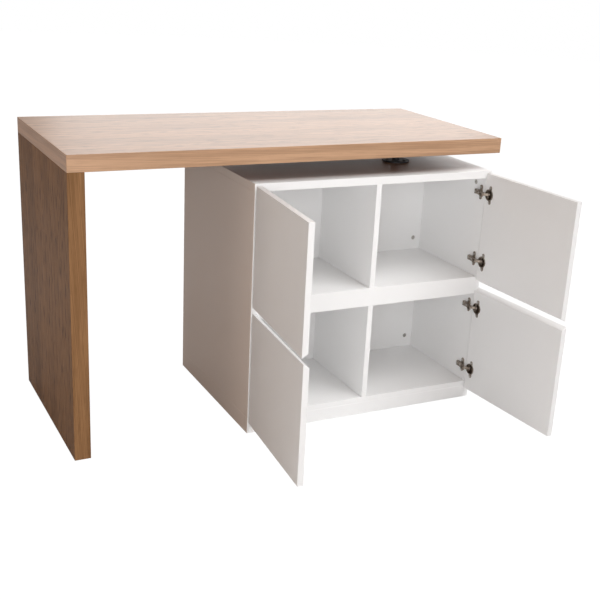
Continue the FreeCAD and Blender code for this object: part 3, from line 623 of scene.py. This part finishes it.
nylon = Finish("nylon_washer", Subsurface_Weight=0.1)
washer_place = nylon.position()
flow = nylon.noise(washer_place, FLOW_MARKS_PER_METRE)
scuff = nylon.noise(washer_place, SCUFFS_PER_METRE)
nylon.feed("Base Color", nylon.blend(flow, (0.80, 0.78, 0.72, 1), (0.72, 0.70, 0.64, 1)))
nylon.feed("Roughness", nylon.between(scuff, 0.2, 0.8, 0.4, 0.55))
dress(nylon, "swivel_washer")

# %% [markdown]
# ## A white studio
# The photograph shows the table cut out on pure white. A real studio would burn the
# backdrop out with light, and that light would bleach the white cabinet as well. Instead
# the world and the floor are simply white to the eye of the camera and to mirrors, and
# the lamps light only the table. A light path says what kind of ray is asking.

# %% Ask what kind of ray is looking
WHITE = (1, 1, 1, 1)


def seen_directly(tree, by_eye, by_mirror):
    """A share for rays that come from the camera, one for mirrors and glass, else nought."""
    path = tree.nodes.new("ShaderNodeLightPath")
    shares = {"Is Camera Ray": by_eye, "Is Glossy Ray": by_mirror, "Is Transmission Ray": by_mirror}
    total = None
    for kind, share in shares.items():
        adder = tree.nodes.new("ShaderNodeMath")
        adder.operation = "MULTIPLY_ADD"
        adder.inputs[1].default_value = share
        adder.inputs[2].default_value = 0.0
        tree.links.new(path.outputs[kind], adder.inputs[0])
        if total is not None:
            tree.links.new(total, adder.inputs[2])
        total = adder.outputs[0]
    return total


# %% [markdown]
# ## A world to hold the air
# The studio round the table is the scene's world, which has a network of nodes of its
# own. Numbers and colours are blended by the same kind of node, with other sockets, so
# one helper serves for both.

# %% Build the world and a way to blend in it
world = bpy.data.worlds.new("studio")
scene.world = world
world.use_nodes = True
studio = world.node_tree


def mixed(kind, share, first, second):
    """Blends two numbers or colours by a share, each a value or another node's output."""
    mixer = studio.nodes.new("ShaderNodeMix")
    mixer.data_type = kind
    places = {"FLOAT": (0, 2, 3), "RGBA": (0, 6, 7)}[kind]
    for place, value in zip(places, (share, first, second)):
        if isinstance(value, bpy.types.NodeSocket):
            studio.links.new(value, mixer.inputs[place])
        else:
            mixer.inputs[place].default_value = value
    return mixer.outputs[{"FLOAT": 0, "RGBA": 2}[kind]]


print("a new world has the nodes", ", ".join(node.name for node in studio.nodes))

# %% [markdown]
# ## The air of the studio
# As a light the backdrop is white on the right and a dim brown on the left, where the
# photograph's left faces are warm and dull, and it grows from nought at the horizon to
# full overhead. An even white world would be simpler, but it flattens the open cells.
# The camera sees the same backdrop plain white, and mirrors see it in its own tones at
# nine tenths of full strength or more.

# %% Fill the air
LEFT_AIR = (0.16, 0.07, 0.02, 1)
LEFT_END = -0.7
HORIZON, ZENITH = 0.0, 1.0
IN_MIRRORS = 0.9

direction = studio.nodes.new("ShaderNodeTexCoord")
split = studio.nodes.new("ShaderNodeSeparateXYZ")
studio.links.new(direction.outputs["Generated"], split.inputs[0])
rightward = studio.nodes.new("ShaderNodeMapRange")
rightward.inputs["From Min"].default_value = LEFT_END
studio.links.new(split.outputs["X"], rightward.inputs["Value"])
air = mixed("RGBA", rightward.outputs[0], LEFT_AIR, WHITE)
sky = mixed("FLOAT", split.outputs["Z"], HORIZON, ZENITH)
by_camera = seen_directly(studio, 1.0, 0.0)
by_camera_or_mirror = seen_directly(studio, 1.0, IN_MIRRORS)
backdrop = studio.nodes["Background"]
studio.links.new(mixed("RGBA", by_camera, air, WHITE), backdrop.inputs["Color"])
studio.links.new(mixed("FLOAT", by_camera_or_mirror, sky, 1.0), backdrop.inputs["Strength"])
print("nodes in the studio's air:", len(studio.nodes))

# %% [markdown]
# ## The floor
# A sheet of pale paper runs far past the picture. For the camera nine tenths of it glow,
# just strongly enough to look white, and one tenth is lit as real paper is, so the table
# still has its soft shadow to stand in. A shadow catcher would do that too, but mirrors
# would then see no floor. The paper lies half a millimetre low, so that it never shares
# a plane with the underside of the table.

# %% Roll out the floor
FLOOR_RADIUS = 14
FLOOR_DROP = 0.0005
FLOOR_GLOW = 1.11
GLOW_TO_EYE, GLOW_TO_MIRRORS = 0.9, 0.1
PAPER_GREY = (0.8, 0.8, 0.8, 1)

floor_mesh = bpy.data.meshes.new("floor")
floor_shape = bmesh.new()
bmesh.ops.create_circle(floor_shape, cap_ends=True, segments=96, radius=FLOOR_RADIUS)
floor_shape.to_mesh(floor_mesh)
floor_shape.free()
floor = bpy.data.objects.new("floor", floor_mesh)
scene.collection.objects.link(floor)
floor.location.z = -FLOOR_DROP

paper = bpy.data.materials.new("floor_paper")
paper.use_nodes = True
links, parts = paper.node_tree.links, paper.node_tree.nodes
matt = parts["Principled BSDF"]
matt.inputs["Base Color"].default_value = PAPER_GREY
matt.inputs["Roughness"].default_value = 0.9
matt.inputs["Specular IOR Level"].default_value = 0.1
glow = parts.new("ShaderNodeEmission")
glow.inputs["Strength"].default_value = FLOOR_GLOW
mixer = parts.new("ShaderNodeMixShader")
links.new(seen_directly(paper.node_tree, GLOW_TO_EYE, GLOW_TO_MIRRORS), mixer.inputs[0])
links.new(matt.outputs[0], mixer.inputs[1])
links.new(glow.outputs[0], mixer.inputs[2])
links.new(mixer.outputs[0], parts["Material Output"].inputs["Surface"])
floor.data.materials.append(paper)
print("floor radius in metres:", FLOOR_RADIUS)

# %% [markdown]
# ## Four softboxes
# Upward faces are the brightest, front edges come next and left faces are dull. So most
# of the light is one large box high up at the front right. A box near the camera reaches
# into the open cells, a weak warm box fills the left faces, and a box behind is mirrored
# in the worktop, which gives it the pale sheen. One strong lamp would be simpler, but it
# leaves the cells dark. Rendering each box alone gave a first guess at its watts.

# %% Hang the softboxes


def softbox(name, place, aim, width, height, watts, tint=(1, 1, 1)):
    """A rectangular lamp that faces a point."""
    data = bpy.data.lights.new(name, "AREA")
    data.shape = "RECTANGLE"
    data.size, data.size_y, data.energy = width, height, watts
    data.color = tint
    lamp = bpy.data.objects.new(name, data)
    lamp.location = place
    lamp.rotation_euler = (Vector(aim) - Vector(place)).to_track_quat("-Z", "Y").to_euler()
    scene.collection.objects.link(lamp)
    print(name, "gives", watts, "watts")


softbox("top_box", place=(1.6, -2.3, 4.2), aim=(0.1, -0.1, 0.4), width=3.0, height=2.4, watts=114)
softbox("front_box", place=(-1.4, -3.1, 1.2), aim=(0.1, 0.0, 0.5), width=2.0, height=1.4, watts=34)
softbox(
    "left_box", place=(-3.8, -0.4, 1.8), aim=(-0.6, 0.0, 0.5), width=2.0, height=2.0, watts=15,
    tint=(1.0, 0.84, 0.70),
)
softbox("rear_box", place=(1.3, 3.2, 1.6), aim=(0.15, 0.0, 0.9), width=3.0, height=1.6, watts=20)
